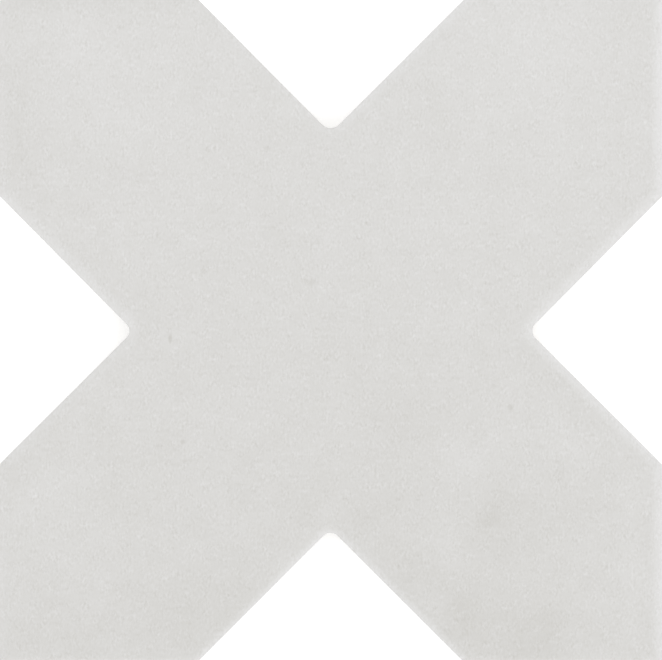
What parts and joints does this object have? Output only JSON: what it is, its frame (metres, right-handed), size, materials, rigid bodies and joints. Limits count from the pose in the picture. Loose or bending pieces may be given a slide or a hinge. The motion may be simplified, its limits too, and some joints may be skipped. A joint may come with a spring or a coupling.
{
  "type": "cross-shaped porcelain tile",
  "caption": "Flat porcelain cross tile with square-tipped arms on its diagonals, right-angled notches for star tiles, a soft cushion edge, a satin off-white glaze and a keyed back.",
  "frame": {"origin": "centre of the back, on the plane of its ribs", "axes": "+Z out of the glazed face; X and Y along the sides of the square that the arms reach, so the arms lie on the diagonals and a notch opens along each of +X, +Y, -X and -Y"},
  "size_m": [0.1324, 0.1324, 0.008],
  "materials": {
    "glazed_porcelain": "satin off-white glaze on the face, bare porcelain on the sides and back"
  },
  "bodies": {
    "root": {"cross_tile": "glazed_porcelain"}
  },
  "joints": []
}
